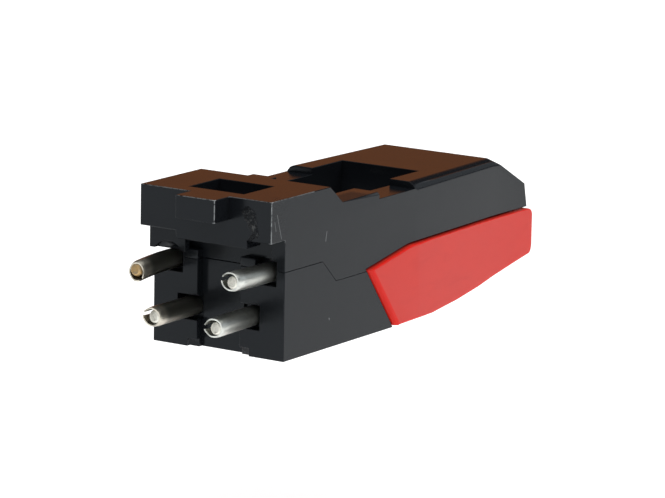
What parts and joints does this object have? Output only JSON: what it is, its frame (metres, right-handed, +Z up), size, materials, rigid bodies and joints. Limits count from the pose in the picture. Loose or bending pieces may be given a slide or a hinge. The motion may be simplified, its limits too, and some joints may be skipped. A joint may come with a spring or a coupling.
{
  "type": "phonograph cartridge with stylus",
  "caption": "Stereo ceramic phonograph cartridge: black moulded housing with rolled tube terminals and a red plug-on stylus carrier.",
  "frame": {"origin": "on the record's surface at the stylus tip's height, under the middle of the overall box", "axes": "+X forward from the terminals to the stylus end, +Y to the cartridge's left, +Z up away from the record"},
  "size_m": [0.0334, 0.0104, 0.0114],
  "materials": {
    "housing": "black moulded plastic, glossy on top and softly scuffed at the sides",
    "carrier_plastic": "red moulded plastic, slightly translucent",
    "terminal_metal": "tin-plated sheet, rolled, slightly tarnished",
    "tube_metal": "drawn tube",
    "ceramic": "sintered ceramic with silvered faces",
    "soft_rubber": "soft damping rubber",
    "black_rubber": "moulded rubber",
    "gem": "polished synthetic gem"
  },
  "bodies": {
    "cartridge": {"upper_housing": "housing", "lower_housing": "housing", "left_signal_terminal": "terminal_metal", "left_ground_terminal": "terminal_metal", "right_signal_terminal": "terminal_metal", "right_ground_terminal": "terminal_metal", "left_element": "ceramic", "right_element": "ceramic", "rear_clamp": "soft_rubber", "left_damper": "soft_rubber", "right_damper": "soft_rubber", "coupler": "black_rubber"},
    "stylus_carrier": {"stylus_carrier": "carrier_plastic"},
    "cantilever_bush": {"cantilever_bush": "black_rubber"},
    "cantilever": {"cantilever": "tube_metal", "stylus_tip": "gem"}
  },
  "joints": [
    {"name": "stylus_release", "type": "slide", "parent": "cartridge", "child": "stylus_carrier", "axis": [0.606, 0, -0.7954], "range_m": [0, 0.012]},
    {"name": "stylus_lift", "type": "hinge", "parent": "stylus_carrier", "child": "cantilever_bush", "pos_m": [0.0015, 0, 0.00219], "axis": [0, -1, 0], "range_deg": [-1.5, 1.5], "stiffness_Nm_per_rad": 0.034},
    {"name": "stylus_swing", "type": "hinge", "parent": "cantilever_bush", "child": "cantilever", "pos_m": [0.0015, 0, 0.00219], "axis": [0, 0, 1], "range_deg": [-1.5, 1.5], "stiffness_Nm_per_rad": 0.034}
  ]
}
